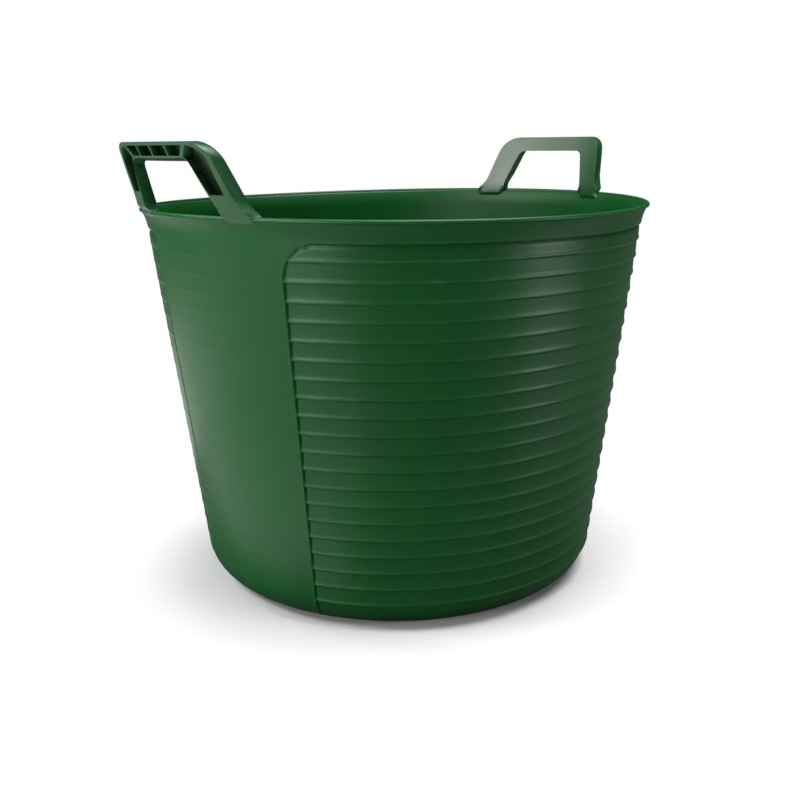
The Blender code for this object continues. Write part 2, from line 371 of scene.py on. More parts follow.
WALL = TubPlastic("wall_plastic")
INSIDE = TubPlastic(
    "inside_plastic", roughness=0.44, scuff=0.45, ripple_height=0.0003, wear_and_painted_sheen=0.3, shine=0.28
)
HANDLE = TubPlastic(
    "handle_plastic",
    # Darker copies of the wall's greens: painted shade on the same moulding.
    deep=(0.0014, 0.0620, 0.0105, 1.0),
    fresh=(0.0019, 0.0800, 0.0135, 1.0),
    roughness=0.34,
    ripple_height=0.00012,
    wear_and_painted_sheen=0.5,
    scuff=0.3,
    shine=0.68,
)
FLOOR = TubPlastic("base_plastic", roughness=0.46, scuff=0.7, ripple_height=0.0002)


# --------------------------------------------------------------------------------------------
# Mesh helpers
# --------------------------------------------------------------------------------------------


def place_in_scene(name: str, data: Any) -> bpy.types.Object:
    """Put a light, camera or mesh in the scene.

    Args:
        name: The object's name.
        data: What it shows.

    Returns:
        The new object.
    """
    made = bpy.data.objects.new(name, data)
    bpy.context.scene.collection.objects.link(made)
    return made


def new_piece(name: str, mesh: bpy.types.Mesh, finishes: Sequence[TubPlastic]) -> bpy.types.Object:
    """Put a piece in the scene, with its finishes.

    Args:
        name: The piece's name.
        mesh: Its mesh.
        finishes: Its finishes, in slot order.

    Returns:
        The new object.
    """
    for finish in finishes:
        mesh.materials.append(finish.material())
    piece = place_in_scene(name, mesh)
    log.info("%s: %d faces", name, len(mesh.polygons))
    return piece


def grid_mesh(name: str, points: np.ndarray, faces: list[list[int]], wear_and_sheen: np.ndarray) -> bpy.types.Mesh:
    """Make a smooth-shaded mesh with one value on each point for scuffs and painted highlight.

    Args:
        name: The mesh's name.
        points: One row of X, Y, Z for each vertex.
        faces: Vertex indices of each face.
        wear_and_sheen: One value from 0 to 1 for each vertex.

    Returns:
        The mesh.
    """
    mesh = bpy.data.meshes.new(name)
    mesh.from_pydata(points.tolist(), [], faces)
    mesh.validate()
    attribute = mesh.attributes.new("wear_and_painted_sheen", "FLOAT", "POINT")
    attribute.data.foreach_set("value", wear_and_sheen.astype(np.float32))
    mesh.shade_smooth()
    mesh.set_sharp_from_angle(angle=math.radians(50))
    return mesh


# --------------------------------------------------------------------------------------------
# The tub's form
# --------------------------------------------------------------------------------------------


@dataclass(frozen=True)
class TubForm:
    """Sizes of the moulding that more than one piece needs."""

    rim_radius: float = 0.2250
    rim_height: float = 0.3350
    lip_overhang: float = 0.0042
    base_radius: float = 0.1800
    wall: float = 0.0032
    corner_radius: float = 0.0310
    foot_height: float = 0.0015
    flare_height: float = 0.0160
    bead_radius: float = 0.0020
    strap_half_angle: float = math.radians(23.2)
    strap_back_angle: float = math.radians(18.8)
    lip_rise: float = 0.0024
    rise_reach: float = 0.0500

    def lift(self, angle: np.ndarray, z: np.ndarray) -> np.ndarray:
        """Return how much the wall is drawn up towards the handles.

        Args:
            angle: Angle from the strap's middle line.
            z: Heights.

        Returns:
            What to add to each height: most at the lip, next to the handle.
        """
        near_lip = smooth((z - self.rim_height + self.rise_reach) / self.rise_reach)
        return self.lip_rise * np.cos(angle) ** 2 * near_lip

    @property
    def slope(self) -> float:
        """Return the wall's growth in radius per unit of height."""
        return (self.rim_radius - self.lip_overhang - self.base_radius) / self.rim_height

    def line_radius(self, z: np.ndarray) -> np.ndarray:
        """Return the plain wall's outer radius at height z."""
        return self.base_radius + self.slope * z

    def flare(self, z: np.ndarray) -> np.ndarray:
        """Return what the flare adds to the radius at height z."""
        t = np.clip((z - self.rim_height + self.flare_height) / self.flare_height, 0.0, 1.0)
        return self.lip_overhang * t * t

    @property
    def tilt(self) -> float:
        """Return the wall's angle from upright."""
        return math.atan(self.slope)

    @property
    def corner_centre(self) -> Point:
        """Return radius and height of the base corner's centre."""
        radius = self.base_radius + self.slope * self.corner_radius
        return radius - self.corner_radius / math.cos(self.tilt), self.corner_radius

    @property
    def floor_radius(self) -> float:
        """Return the radius at which the floor disc hands over to the shells."""
        return self.corner_centre[0]


@dataclass
class HalfShell:
    """Half of the tub's wall, from the floor's edge up to the lip, ribs and strap included."""

    form: TubForm
    side: Side
    rib_pitch: float = 0.0148
    rib_depth: float = 0.0010
    rib_ledge: float = 0.0012
    rib_roll: float = 0.00055
    roll_rise: float = 0.00096
    roll_width: float = 0.00108
    smooth_band: float = 0.0300
    panel_top_gap: float = 0.0170
    panel_corner: float = 0.0280
    back_corner: float = 0.0120
    panel_sink: float = 0.0004
    seam_depth: float = 0.0008
    seam_width: float = 0.0010
    back_seam_depth: float = 0.0018
    back_seam_width: float = 0.0017
    back_calm: float = 0.25
    back_calm_reach: float = 0.0500
    ghost_share: float = 0.06
    ghost_half_angle: float = math.radians(11.0)
    ghost_core: float = 0.4
    foot_fade: float = 0.0120
    crest_rise: float = 0.0010
    crest_width: float = 0.0012
    rub_least: float = 0.10
    # From here the shares paint highlights on the rib crests: near the panel's border, at its far sides,
    # along its outline and on the lip's bead.
    border_highlight: float = 0.90
    border_highlight_inset: float = 0.0040
    border_highlight_reach: float = 0.0450
    side_highlight: float = 0.60
    side_highlight_angle: float = 1.25
    side_highlight_reach: float = 0.28
    outline_highlight: float = 0.6
    border_out: float = 0.0008
    border_width: float = 0.0010
    bead_highlight: float = 0.45
    fine_step: float = 0.0011
    step_height: float = 0.3000
    closest_rows: float = 0.00025
    low_gap: float = 0.0008
    high_gap: float = 0.0005
    corner_step: float = 0.0022
    coarse_angle: float = math.radians(1.25)
    edge_steps: tuple[float, ...] = (-1.25, -1.0, -0.65, -0.35, 0.0, 0.4, 0.9, 1.6)
    face_steps: tuple[float, ...] = (3.2, 6.5)
    flare_rows: int = 12
    floor_lap: float = 0.0015
    corner_lead: float = 0.03

    def rib_feet(self) -> np.ndarray:
        """List the ribs from the panel's top border down.

        Returns:
            The heights of their feet.
        """
        top = self.form.rim_height - self.smooth_band
        count = int(top / self.rib_pitch)
        feet = [top - i * self.rib_pitch for i in range(count)]
        return np.array([self.form.rim_height - self.panel_top_gap] + feet)

    def rib_recess(self, z: np.ndarray) -> np.ndarray:
        """Return how far the ribbed wall lies inside the plain wall line.

        Args:
            z: Heights.

        Returns:
            The depth at each height, with the rib's rolled foot taken off.
        """
        depth = np.zeros_like(z)
        feet = self.rib_feet()
        lows = np.append(feet[1:], feet[-1] - self.rib_pitch)
        for foot, low in zip(feet, lows):
            rise = np.clip((z - low) / (foot - self.rib_ledge - low), 0.0, 1.0)
            step = 1 - smooth((z - foot + self.rib_ledge) / self.rib_ledge)
            inside = (z > low) & (z <= foot)
            depth += np.where(inside, self.rib_depth * rise * step, 0.0)
            depth -= self.rib_roll * hump(z - foot - self.roll_rise, self.roll_width)
        return depth

    def in_front(self, angle: np.ndarray) -> np.ndarray:
        """Return which angles lie on the tub's front."""
        return angle * self.side.value < 0

    def panel_distance(self, angle: np.ndarray, z: np.ndarray) -> np.ndarray:
        """Measure from the ribbed panel's outline.

        Args:
            angle: Angle from the strap's middle line.
            z: Heights.

        Returns:
            The distance at each point, positive inside the panel.
        """
        front = self.in_front(angle)
        edge = np.where(front, self.form.strap_half_angle, self.form.strap_back_angle)
        across = (np.abs(angle) - edge) * self.form.line_radius(z)
        down = self.form.rim_height - self.panel_top_gap - z
        corner = np.where(front, self.panel_corner, self.back_corner)
        past_x = np.maximum(corner - across, 0.0)
        past_z = np.maximum(corner - down, 0.0)
        inner = np.minimum(np.maximum(corner - across, corner - down), 0.0)
        return corner - np.hypot(past_x, past_z) - inner

    def relief(self, angle: np.ndarray, z: np.ndarray) -> np.ndarray:
        """Shape the outer face with ribs, borders and the faint ribs on the strap.

        Args:
            angle: Angle from the strap's middle line.
            z: Heights.

        Returns:
            The offset from the plain wall at each point.
        """
        inside = self.panel_distance(angle, z)
        front = self.in_front(angle)
        panel = smooth(inside / self.fine_step)
        ribs = self.rib_recess(z)
        ghost = self.ghost_share * (1 - smooth(np.abs(angle) / self.ghost_half_angle - self.ghost_core))
        calm = self.back_calm + (1 - self.back_calm) * smooth(inside / self.back_calm_reach - 1)
        sink = ribs * np.where(front, 1.0, calm) + np.where(front, self.panel_sink, 0.0)
        depth = np.where(front, self.seam_depth, self.back_seam_depth)
        width = np.where(front, self.seam_width, self.back_seam_width)
        seam = depth * hump(inside - width, width)
        fade = smooth((z - self.form.foot_height) / self.foot_fade)
        return -(panel * sink + ghost * ribs * (1 - panel) + seam) * fade

    def wear_and_highlight(self, angle: np.ndarray, z: np.ndarray) -> np.ndarray:
        """Find the lighter marks of the outer face: a little scuffing on all ribs' crests, and painted
        highlights on the crests near the panel's border and far sides and along its outline.

        Args:
            angle: Angle from the strap's middle line.
            z: Heights.

        Returns:
            The scuffs and painted highlight at each point, from 0.
        """
        inside = self.panel_distance(angle, z)
        crest = np.zeros_like(z)
        for foot in self.rib_feet():
            crest = np.maximum(crest, hump(z - foot - self.crest_rise, self.crest_width))
        share = self.rub_least + self.border_highlight * hump(inside - self.border_highlight_inset, self.border_highlight_reach)
        share = share + self.side_highlight * hump(np.abs(angle) - self.side_highlight_angle, self.side_highlight_reach)
        border = self.outline_highlight * hump(inside + self.border_out, self.border_width)
        return np.maximum(crest * smooth(inside / self.fine_step) * share, border)

    def heights(self) -> np.ndarray:
        """Space the outer face's rows, close together at each rib's foot.

        Returns:
            The heights, from the base corner up to the flare.
        """
        form = self.form
        low = form.corner_centre[1] * (1 - math.sin(form.tilt))
        high = form.rim_height - form.flare_height
        steps = self.edge_steps + self.face_steps
        rows = {round(float(foot + k * self.rib_ledge), 6) for foot in self.rib_feet() for k in steps}
        corner = np.arange(form.rim_height - self.panel_top_gap - self.panel_corner, high, self.corner_step)
        rows |= {round(float(z), 6) for z in corner}
        spaced = [low]
        for z in sorted(z for z in rows if low + self.low_gap < z < high - self.high_gap):
            if z - spaced[-1] > self.closest_rows:
                spaced.append(z)
        return np.array(spaced)

    def corner_turns(self, start: float, end: float) -> list[float]:
        """Space the base corner's rows, with extra ones at each rib's foot.

        Args:
            start: Angle up from straight below at which the corner starts.
            end: Angle at which it meets the wall.

        Returns:
            The angles, rising.
        """
        radius = self.form.corner_radius
        turns = set(np.round(np.linspace(start + self.corner_lead, end, 30), 5))
        for foot in self.rib_feet():
            if foot < radius:
                drops = [radius - foot - k * self.rib_ledge for k in self.edge_steps]
                turns |= {round(math.acos(drop / radius), 5) for drop in drops}
        return sorted(a for a in turns if start < a <= end)

    def outer_rows(self) -> np.ndarray:
        """Lay out the outer face.

        Returns:
            Rows of radius, height and outward normal, from the floor up to the bead.
        """
        form = self.form
        centre_r, centre_z = form.corner_centre
        radius = form.corner_radius
        start = math.acos((centre_z - form.foot_height) / radius)
        rows = [(form.floor_radius, form.foot_height, 0.0, -1.0)]
        rows.append((centre_r + radius * math.sin(start) - self.floor_lap, form.foot_height, 0.0, -1.0))
        for a in self.corner_turns(start, math.pi / 2 - form.tilt):
            out, up = math.sin(a), -math.cos(a)
            rows.append((centre_r + radius * out, centre_z + radius * up, out, up))
        out, up = math.cos(form.tilt), -math.sin(form.tilt)
        rows += [(float(form.line_radius(z)), float(z), out, up) for z in self.heights()[1:]]
        top = form.rim_height - form.bead_radius
        flare = np.linspace(form.rim_height - form.flare_height, top, self.flare_rows)
        rows += [(float(form.line_radius(z) + form.flare(z)), float(z), out, up) for z in flare[:-1]]
        return np.array(rows)

    def inner_rows(self) -> np.ndarray:
        """Lay out the plain inner face.

        Returns:
            Rows from the bead down to the floor, like the outer ones.
        """
        form = self.form
        out, up = math.cos(form.tilt), -math.sin(form.tilt)
        shoulder = form.rim_height - form.flare_height
        flare = np.linspace(form.rim_height - form.bead_radius - self.high_gap, shoulder, self.flare_rows)
        wall = np.linspace(shoulder, form.corner_radius, 40)[1:-1]
        rows = []
        for z in np.concatenate([flare, wall]):
            rows.append((float(form.line_radius(z) + form.flare(z)) - form.wall / out, float(z), -out, -up))
        centre_r, centre_z = form.corner_centre
        radius = form.corner_radius - form.wall
        floor = form.foot_height + form.wall
        start = math.acos((centre_z - floor) / radius)
        for a in np.linspace(math.pi / 2 - form.tilt, start + self.corner_lead, 14):
            rows.append((centre_r + radius * math.sin(a), centre_z - radius * math.cos(a), 0.0, 0.0))
        rows.append((centre_r + radius * math.sin(start) - self.floor_lap, floor, 0.0, 1.0))
        rows.append((form.floor_radius, floor, 0.0, 1.0))
        return np.array(rows)

    def bead_rows(self) -> np.ndarray:
        """Lay out the lip's rounded edge.

        Returns:
            Rows from outside to inside, like the outer ones.
        """
        form = self.form
        centre_r = form.rim_radius - form.bead_radius
        centre_z = form.rim_height - form.bead_radius
        rows = []
        for a in np.linspace(math.radians(-20), math.radians(185), 16):
            out, up = math.cos(a), math.sin(a)
            rows.append((centre_r + form.bead_radius * out, centre_z + form.bead_radius * up, out, up))
        return np.array(rows)

    def half_angles(self, edge: float) -> np.ndarray:
        """Space the columns from the strap's middle to the parting line, close together at one border.

        Args:
            edge: The strap border's angle from its middle.

        Returns:
            The angles, from 0 up.
        """
        radius = float(self.form.line_radius(self.step_height))
        fine = self.fine_step / radius
        near = [edge + k * fine * 0.5 for k in range(-5, 9)]
        corner = list(np.arange(near[-1] + fine, edge + self.panel_corner / radius, fine))
        count = round((math.pi / 2 - corner[-1]) / self.coarse_angle)
        rest = list(np.linspace(corner[-1], math.pi / 2, count))
        middle = list(np.linspace(0.0, near[0], 16))
        return np.array(middle[:-1] + near + corner[:-1] + rest)

    def angles(self) -> np.ndarray:
        """Space all the columns, front and back.

        Returns:
            Their angles from the strap's middle, in rising order.
        """
        front = self.half_angles(self.form.strap_half_angle)
        back = self.half_angles(self.form.strap_back_angle)
        low, high = (back, front) if self.side is Side.LEFT else (front, back)
        return np.concatenate([-low[:0:-1], high])

    def mesh(self) -> bpy.types.Mesh:
        """Build the half shell as one closed mesh.

        Returns:
            The mesh; slot 0 is the outer face and slot 1 the inner one.
        """
        outer = self.outer_rows()
        bead = self.bead_rows()
        rows = np.concatenate([outer, bead, self.inner_rows()])
        columns = self.angles()
        count_r, count_c = len(rows), len(columns)
        angle = np.tile(columns, (count_r, 1))
        r, z, nr, nz = (np.tile(values[:, None], (1, count_c)) for values in rows.T)
        offset = self.relief(angle, z)
        # The outer face's scuffs and painted highlights.
        wear_and_sheen = self.wear_and_highlight(angle, z)
        inside_row = len(outer) + len(bead)
        offset[len(outer):] = 0.0
        wear_and_sheen[len(outer):] = 0.0
        # The lip's bead takes a painted highlight.
        wear_and_sheen[len(outer):inside_row] = self.bead_highlight
        r = r + nr * offset
        z = z + nz * offset
        z = z + self.form.lift(angle, z)
        turn = angle + (0.0 if self.side is Side.RIGHT else math.pi)
        points = np.stack([r * np.cos(turn), r * np.sin(turn), z], axis=-1)
        points[:, (0, -1), 0] = 0.0
        faces = []
        for i in range(count_r):
            low = i * count_c
            high = (i + 1) % count_r * count_c
            faces += [[low + k, low + k + 1, high + k + 1, high + k] for k in range(count_c - 1)]
        faces.append([i * count_c for i in range(count_r)])
        faces.append([i * count_c + count_c - 1 for i in reversed(range(count_r))])
        mesh = grid_mesh(self.side.word + "_shell", points.reshape(-1, 3), faces, wear_and_sheen.reshape(-1))
        for polygon in mesh.polygons[inside_row * (count_c - 1):count_r * (count_c - 1)]:
            polygon.material_index = 1
        self._even_seam(mesh)
        return mesh

    @staticmethod
    def _even_seam(mesh: bpy.types.Mesh) -> None:
        """Lay the normals along the parting line square to it, so that both halves match.

        Args:
            mesh: The half shell's mesh.
        """
        normals = np.zeros(len(mesh.loops) * 3, np.float32)
        mesh.corner_normals.foreach_get("vector", normals)
        normals = normals.reshape(-1, 3)
        places = np.zeros(len(mesh.vertices) * 3, np.float32)
        mesh.vertices.foreach_get("co", places)
        vertex = np.zeros(len(mesh.loops), np.int32)
        mesh.loops.foreach_get("vertex_index", vertex)
        at_seam = (np.abs(places.reshape(-1, 3)[vertex, 0]) < 1e-6) & (np.abs(normals[:, 0]) < 0.5)
        normals[at_seam, 0] = 0.0
        normals /= np.linalg.norm(normals, axis=1)[:, None]
        mesh.normals_split_custom_set(normals.tolist())

    def build(self) -> bpy.types.Object:
        """Make the piece in place of the imported strap, rim and wall parts.

        Returns:
            The piece.
        """
        word = self.side.word
        piece = new_piece(word + "_shell", self.mesh(), [WALL, INSIDE])
        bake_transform(piece)
        if self.side is Side.LEFT:
            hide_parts("left_strap", "left_rim", "front_wall", "front_rim")
        else:
            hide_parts("right_strap", "right_rim", "back_wall", "back_rim")
        return piece


@dataclass
class FloorDisc:
    """Floor inside the corner, with the foot ring and the moulding's gate mark underneath."""

    form: TubForm
    foot_margin: float = 0.0055
    foot_width: float = 0.0140
    gate_radius: float = 0.0070
    gate_height: float = 0.0012
    ring_radii: tuple[float, ...] = (0.045, 0.085)
    ring_height: float = 0.0005
    foot_wear: float = 0.9
    steps: int = 160

    def foot_ring(self, under: float) -> list[Point]:
        """Draw the foot ring that the tub stands on.

        Args:
            under: Height of the underside.

        Returns:
            Its section, from the inner edge to the outer one, with rounded corners.
        """
        outer = self.form.floor_radius - self.foot_margin - under
        corner = [(-0.25, 0.0), (0.15, 0.15), (0.45, 0.55), (1.0, 1.0)]
        points = [(outer - self.foot_width - across * under, up * under) for across, up in reversed(corner)]
        return points + [(outer + across * under, up * under) for across, up in corner]

    def profile(self) -> list[Point]:
        """Draw the disc's section.

        Returns:
            Radius and height points, out along the underside and back along the floor.
        """
        under = self.form.foot_height
        top = under + self.form.wall
        gate = [(0.0, 0.4), (0.3, 0.4), (0.45, 1.0), (0.8, 1.0), (1.0, 0.0)]
        points = [(r * self.gate_radius, under - drop * self.gate_height) for r, drop in gate]
        for radius in self.ring_radii:
            for across, drop in ((-0.0030, 0.0), (-0.0012, 0.8), (0.0, 1.0), (0.0012, 0.8), (0.0030, 0.0)):
                points.append((radius + across, under - drop * self.ring_height))
        points += self.foot_ring(under)
        points += [(self.form.floor_radius, under), (self.form.floor_radius, top)]
        for radius in reversed(self.ring_radii):
            for across, rise in ((0.0030, 0.0), (0.0010, 0.7), (-0.0010, 0.7), (-0.0030, 0.0)):
                points.append((radius + across, top + rise * self.ring_height))
        boss = [(1.0, 0.0), (0.6, 0.3), (0.0, 0.3)]
        return points + [(r * self.gate_radius, top + rise * self.gate_height) for r, rise in boss]

    def mesh(self) -> bpy.types.Mesh:
        """Turn the profile round the tub's axis.

        Returns:
            A closed mesh.
        """
        profile = self.profile()
        ring = 2 * math.pi * np.arange(self.steps) / self.steps
        points = [(0.0, 0.0, profile[0][1]), (0.0, 0.0, profile[-1][1])]
        wear_and_sheen = [0.0, 0.0]
        for r, z in profile[1:-1]:
            points += [(r * math.cos(a), r * math.sin(a), z) for a in ring]
            wear_and_sheen += [self.foot_wear if z < 0.3 * self.form.foot_height else 0.0] * self.steps
        faces = []
        rows = len(profile) - 2
        last = 2 + (rows - 1) * self.steps
        for k in range(self.steps):
            n = (k + 1) % self.steps
            faces.append([0, 2 + n, 2 + k])
            faces.append([1, last + k, last + n])
            for i in range(rows - 1):
                low = 2 + i * self.steps
                high = low + self.steps
                faces.append([low + k, low + n, high + n, high + k])
        return grid_mesh("tub_floor", np.array(points), faces, np.array(wear_and_sheen))

    def build(self) -> bpy.types.Object:
        """Make the piece and let it ride on the tub.

        Returns:
            The piece.
        """
        piece = new_piece("tub_floor", self.mesh(), [FLOOR])
        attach(piece, "tub")
        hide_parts("floor_pan")
        return piece


# --------------------------------------------------------------------------------------------
# Handles
# --------------------------------------------------------------------------------------------


def arc(centre: Point, radius: float, first: float, last: float, steps: int) -> list[Point]:
    """Return points on an arc, both ends included."""
    turns = [first + (last - first) * i / steps for i in range(steps + 1)]
    return [(centre[0] + radius * math.cos(a), centre[1] + radius * math.sin(a)) for a in turns]


def holds(loop: Sequence[Point], x: float, y: float) -> bool:
    """Find whether a closed loop holds a point.

    Args:
        loop: The loop's points.
        x: The point's first coordinate.
        y: Its second one.

    Returns:
        True inside the loop.
    """
    inside = False
    for (ax, ay), (bx, by) in zip(loop, list(loop[1:]) + [loop[0]]):
        if (ay > y) != (by > y) and x < ax + (bx - ax) * (y - ay) / (by - ay):
            inside = not inside
    return inside


@dataclass
class LoopHandle:
    """One loop handle: a web with flanges and cross ribs, open outwards, rising from the lip."""

    form: TubForm
    side: Side
    foot_half: float = 0.0730
    top_half: float = 0.0555
    height: float = 0.0554
    depth: float = 0.0104
    web: float = 0.0028
    flange: float = 0.0033
    hole_flange: float = 0.0019
    leg_flange: float = 0.0062
    corner: float = 0.0220
    corner_rib_top: float = 0.0375
    lean: float = 0.36
    inset: float = 0.0075
    grip_height: float = 0.0147
    leg_foot: float = 0.0215
    leg_top: float = 0.0247
    hole_corner: float = 0.0075
    gusset: float = 0.0160
    rib: float = 0.0015
    grip_rib_pitch: float = 0.0180
    draft: float = 0.0040
    hole_draft: float = 0.0016
    grip_draft: float = 0.0025
    root_height: float = 0.0120
    root_margin: float = 0.0010
    root_bend: float = 0.0100
    sink: float = 0.0095
    foot_sweep: float = 0.0060
    hole_sweep: float = 0.0040
    sweep_height: float = 0.0130
    hole_sweep_height: float = 0.0070
    cover: float = 0.0005
    cover_drop: float = 0.0006
    cover_fade: float = 0.0078
    melt: float = 0.0060
    melt_top: float = 0.0020
    cover_slope: float = 1.1
    face_share: float = 0.6
    hidden_share: float = 0.2
    least_depth: float = 0.0003
    sweep_draft: float = 0.8
    edge_round: float = 0.0008
    flange_wear: float = 0.8
    top_wear: float = 0.35
    top_reach: float = 0.0016
    # The next four place the painted shade in the channels.
    channel_reach: float = 0.0005
    web_slack: float = 0.0001
    shade_start: float = 0.00096
    shade_share: float = 0.35
    turn: float = 0.0
    arc_steps: int = 12
    slice_step: float = 0.0018
    slice_rise: float = 0.0011
    slice_gap: float = 0.0010
    fine_top: float = 0.0200
    coarse_rise: float = 0.0040
    pocket_loops: list[list[Point]] = field(default_factory=list)

    @property
    def web_radius(self) -> float:
        """Return the radius of the web's inner face at the lip's height."""
        return self.form.rim_radius - self.inset

    @property
    def hole_foot(self) -> float:
        """Return the hand hole's half width at the lip."""
        return self.foot_half - self.leg_foot

    @property
    def hole_top_half(self) -> float:
        """Return the hand hole's half width carried up to the loop's top."""
        return self.top_half - self.leg_top

    @property
    def hole_top(self) -> float:
        """Return the height of the grip bar's underside above the lip."""
        return self.height - self.grip_height

    def leg_edge(self, up: float) -> float:
        """Return the legs' outer half width at a height above the lip."""
        return self.foot_half + (self.top_half - self.foot_half) * up / self.height

    def hole_edge(self, up: float) -> float:
        """Return the hand hole's half width at a height above the lip."""
        return self.hole_foot + (self.hole_top_half - self.hole_foot) * up / self.height

    def rounded_top(self, foot_half: float, top_half: float, top: float, corner: float) -> list[Point]:
        """Return a trapezoid's right corner, as an arc from its leg round to its top.

        Args:
            foot_half: Half width at the lip.
            top_half: Half width at the top, before rounding.
            top: Height of the top.
            corner: Radius of the corner.

        Returns:
            The arc's points.
        """
        lean = math.atan2(foot_half - top_half, top)
        reach = corner * math.tan((math.pi / 2 - lean) / 2)
        return arc((top_half - reach, top - corner), corner, lean, math.pi / 2, self.arc_steps)

    def swept_leg(self, edge: Callable[[float], float], sweep: float, rise: float) -> list[Point]:
        """Return a leg's edge near its foot, swept out in a hollow curve.

        Args:
            edge: The straight edge's half width at a height.
            sweep: How far the foot goes out at the lip, or in when negative.
            rise: Height over which it does so.

        Returns:
            Points from the skirt's foot up to the straight edge.
        """
        ups = [-self.sink * i / 4 for i in (4, 3, 2, 1)]
        ups += [rise * i / 9 for i in range(10)]
        return [(edge(up) + sweep * min(1.0, 1 - up / rise) ** 2, up) for up in ups]

    def outline(self) -> list[Point]:
        """Draw the loop as an inverted U with swept feet.

        Returns:
            The closed outline.
        """
        outer = self.swept_leg(self.leg_edge, self.foot_sweep, self.sweep_height)
        outer += self.rounded_top(self.foot_half, self.top_half, self.height, self.corner)
        inner = self.swept_leg(self.hole_edge, -self.hole_sweep, self.hole_sweep_height)
        hole_half = self.hole_edge(self.hole_top)
        inner += self.rounded_top(self.hole_foot, hole_half, self.hole_top, self.hole_corner)
        right_then_left = outer + [(-x, y) for x, y in reversed(outer)]
        left_then_right = [(-x, y) for x, y in inner] + list(reversed(inner))
        return right_then_left + left_then_right

    def pockets(self) -> list[list[Point]]:
        """Draw the channel's pockets between the cross ribs.

        Returns:
            Three closed loops for each half of the handle.
        """
        low = self.hole_top + self.hole_flange
        high = self.height - self.flange
        half = self.rib / 2
        bend_x = self.hole_edge(self.hole_top)
        rib_top = self.corner_rib_top
        foot_in = self.hole_edge(self.gusset) + self.hole_flange
        foot_out = self.leg_edge(self.gusset) - self.leg_flange
        ring = self.rounded_top(
            self.foot_half - self.leg_flange, self.top_half - self.flange, high, self.corner - self.flange
        )
        bend = [p for p in ring if p[0] > rib_top + 2 * half]
        centre = (bend_x - self.hole_corner, self.hole_top - self.hole_corner)
        turn = arc(centre, self.hole_corner + self.hole_flange, math.radians(20), math.radians(62), 4)
        leg = [(foot_in, self.gusset), (foot_out, self.gusset)] + bend + turn[::-1]
        pitch = self.grip_rib_pitch
        near = [(half, low), (pitch - half, low), (pitch - half, high), (half, high)]
        far = [(pitch + half, low), (turn[-1][0] - 4 * half, low)]
        far += [(rib_top - 2 * half, high), (pitch + half, high)]
        made = []
        for sign in (1, -1):
            made += [[(sign * x, y) for x, y in pocket] for pocket in (near, far, leg)]
        return made

    @staticmethod
    def flat_layer(bm: bmesh.types.BMesh, loops: list[list[Point]], depth: float) -> Verts:
        """Fill the first loop round the others with faces at one depth.

        Args:
            bm: The mesh to add to.
            loops: The outline, then any holes.
            depth: The layer's depth.

        Returns:
            The loops' vertices, in order.
        """
        points: list[Vector] = []
        ties = []
        for loop in loops:
            first = len(points)
            points += [Vector(p) for p in loop]
            ties += [(first + i, first + (i + 1) % len(loop)) for i in range(len(loop))]
        coords, _, faces, _, _, _ = delaunay_2d_cdt(points, ties, [], 1, 1e-7)
        verts = [bm.verts.new((p.x, p.y, depth)) for p in coords]
        for face in faces:
            x = sum(coords[i].x for i in face) / 3
            y = sum(coords[i].y for i in face) / 3
            if not any(holds(hole, x, y) for hole in loops[1:]):
                bm.faces.new([verts[i] for i in face])
        return verts

    @staticmethod
    def join(bm: bmesh.types.BMesh, low: Verts, high: Verts) -> None:
        """Join two loops of vertices with side faces.

        Args:
            bm: The mesh to add to.
            low: The first loop.
            high: The second loop, as long as the first.
        """
        for i, vert in enumerate(low):
            j = (i + 1) % len(low)
            bm.faces.new((vert, low[j], high[j], high[i]))

    def flat_solid(self) -> bmesh.types.BMesh:
        """Build the flat handle as a prism with blind pockets and rounded edges.

        Returns:
            The prism, its depth along Z.
        """
        bm = bmesh.new()
        outline = self.outline()
        back = self.flat_layer(bm, [outline], 0.0)
        front = self.flat_layer(bm, [outline] + self.pocket_loops, self.depth)
        first = len(outline)
        self.join(bm, back, front[:first])
        rims = [back, front[:first]]
        for pocket in self.pocket_loops:
            mouth = front[first:first + len(pocket)]
            self.join(bm, self.flat_layer(bm, [pocket], self.web), mouth)
            rims.append(mouth)
            first += len(pocket)
        bmesh.ops.recalc_face_normals(bm, faces=bm.faces)
        pairs = [(vert, loop[(i + 1) % len(loop)]) for loop in rims for i, vert in enumerate(loop)]
        edges = [edge for edge in map(bm.edges.get, pairs) if edge is not None]
        rounding = {"offset": self.edge_round, "segments": 3, "profile": 0.5, "clamp_overlap": True}
        bmesh.ops.bevel(bm, geom=edges, affect="EDGES", **rounding)
        return bm

    def inner_radius(self, up: float) -> float:
        """Follow the wall's own line below the lip, and lean out above it.

        Args:
            up: Height above the lip.

        Returns:
            The radius of the web's inner face.
        """
        slope = self.form.slope
        t = unit((up + self.root_bend) / (2 * self.root_bend))
        past = max(0.0, up - self.root_bend)
        return self.web_radius + slope * up + (self.lean - slope) * (self.root_bend * t * t + past)

    def wall_radius(self, up: float, share: float) -> float:
        """Return a radius inside the wall's thickness below the lip.

        Args:
            up: Height above the lip; above it the lip's own radius holds.
            share: 0 at the inner face, 1 at the outer one.

        Returns:
            The radius.
        """
        form = self.form
        z = np.array(form.rim_height + min(up, 0.0))
        return float(form.line_radius(z) + form.flare(z)) - (1 - share) * form.wall

    def face_radius(self, inner: float, up: float, melted: float) -> float:
        """Return the outer face's radius: over the lip's bead, then down into the wall.

        Args:
            inner: The inner face's radius at the same height.
            up: Height above the lip.
            melted: How far the foot's edge has sunk into the wall.

        Returns:
            The radius.
        """
        over_lip = self.form.rim_radius + self.cover
        if up >= 0:
            return min(inner + self.depth, over_lip + self.cover_slope * up)
        sunk = float(smooth(np.array((-up - self.cover_drop) / self.cover_fade)))
        edge = melted * min(1.0, -up / self.cover_fade)
        sunk = sunk + (1 - sunk) * edge
        return (1 - sunk) * over_lip + sunk * self.wall_radius(up, self.face_share)

